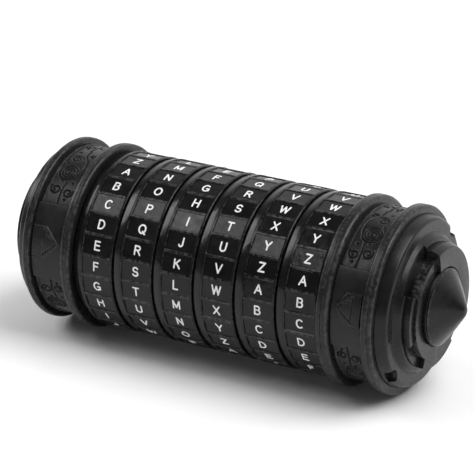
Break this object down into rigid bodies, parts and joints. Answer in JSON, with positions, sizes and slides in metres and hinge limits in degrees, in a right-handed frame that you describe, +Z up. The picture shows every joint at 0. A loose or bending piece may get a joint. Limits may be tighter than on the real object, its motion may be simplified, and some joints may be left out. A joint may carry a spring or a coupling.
{
  "type": "cryptex word-lock cylinder",
  "caption": "Black cylindrical word-lock puzzle: six lettered rings turn on a slotted barrel; when their gates line up, the toothed core slides out with its message tube.",
  "frame": {"origin": "middle of the whole length, under the axis, on the surface that the rims lie on", "axes": "+X along the axis towards the fixed (barrel) end, +Z up, the pointers face -Y"},
  "size_m": [0.1412, 0.0536, 0.0536],
  "materials": {
    "ring_lacquer": "glossy black lacquer, worn at the edges",
    "cap_lacquer": "semi-gloss black lacquer",
    "letter_white": "white filled letters",
    "inner_metal": "turned, satin",
    "steel": "plain",
    "ball_steel": "polished",
    "rubber": "matte"
  },
  "bodies": {
    "barrel": {"slotted_barrel": "inner_metal", "retaining_collar": "cap_lacquer", "retaining_screws": "steel", "detent_spring": "steel", "detent_balls": "ball_steel", "right_collar": "cap_lacquer", "right_step_disc": "cap_lacquer", "right_lug_ring": "cap_lacquer", "right_finial": "cap_lacquer", "right_flange_screws": "steel", "right_stud_nut": "steel", "right_finial_stud": "steel"},
    "ring_1": {"letter_ring_1": "ring_lacquer", "code_ring_1": "inner_metal", "grip_ring_1": "rubber"},
    "ring_2": {"letter_ring_2": "ring_lacquer", "code_ring_2": "inner_metal", "grip_ring_2": "rubber"},
    "ring_3": {"letter_ring_3": "ring_lacquer", "code_ring_3": "inner_metal", "grip_ring_3": "rubber"},
    "ring_4": {"letter_ring_4": "ring_lacquer", "code_ring_4": "inner_metal", "grip_ring_4": "rubber"},
    "ring_5": {"letter_ring_5": "ring_lacquer", "code_ring_5": "inner_metal", "grip_ring_5": "rubber"},
    "ring_6": {"letter_ring_6": "ring_lacquer", "code_ring_6": "inner_metal", "grip_ring_6": "rubber"},
    "core": {"core_tube": "inner_metal", "tooth_bar": "steel", "tooth_bar_screws": "steel", "left_collar": "cap_lacquer", "left_step_disc": "cap_lacquer", "left_lug_ring": "cap_lacquer", "left_finial": "cap_lacquer", "left_flange_screws": "steel", "left_stud_nut": "steel", "left_finial_stud": "steel"}
  },
  "joints": [
    {"name": "ring_1_turn", "type": "hinge", "parent": "barrel", "child": "ring_1", "pos_m": [0, 0, 0.0268], "axis": [1, 0, 0], "continuous": true},
    {"name": "ring_2_turn", "type": "hinge", "parent": "barrel", "child": "ring_2", "pos_m": [0, 0, 0.0268], "axis": [1, 0, 0], "continuous": true},
    {"name": "ring_3_turn", "type": "hinge", "parent": "barrel", "child": "ring_3", "pos_m": [0, 0, 0.0268], "axis": [1, 0, 0], "continuous": true},
    {"name": "ring_4_turn", "type": "hinge", "parent": "barrel", "child": "ring_4", "pos_m": [0, 0, 0.0268], "axis": [1, 0, 0], "continuous": true},
    {"name": "ring_5_turn", "type": "hinge", "parent": "barrel", "child": "ring_5", "pos_m": [0, 0, 0.0268], "axis": [1, 0, 0], "continuous": true},
    {"name": "ring_6_turn", "type": "hinge", "parent": "barrel", "child": "ring_6", "pos_m": [0, 0, 0.0268], "axis": [1, 0, 0], "continuous": true},
    {"name": "core_slide", "type": "slide", "parent": "barrel", "child": "core", "axis": [-1, 0, 0], "range_m": [0, 0.1]}
  ]
}
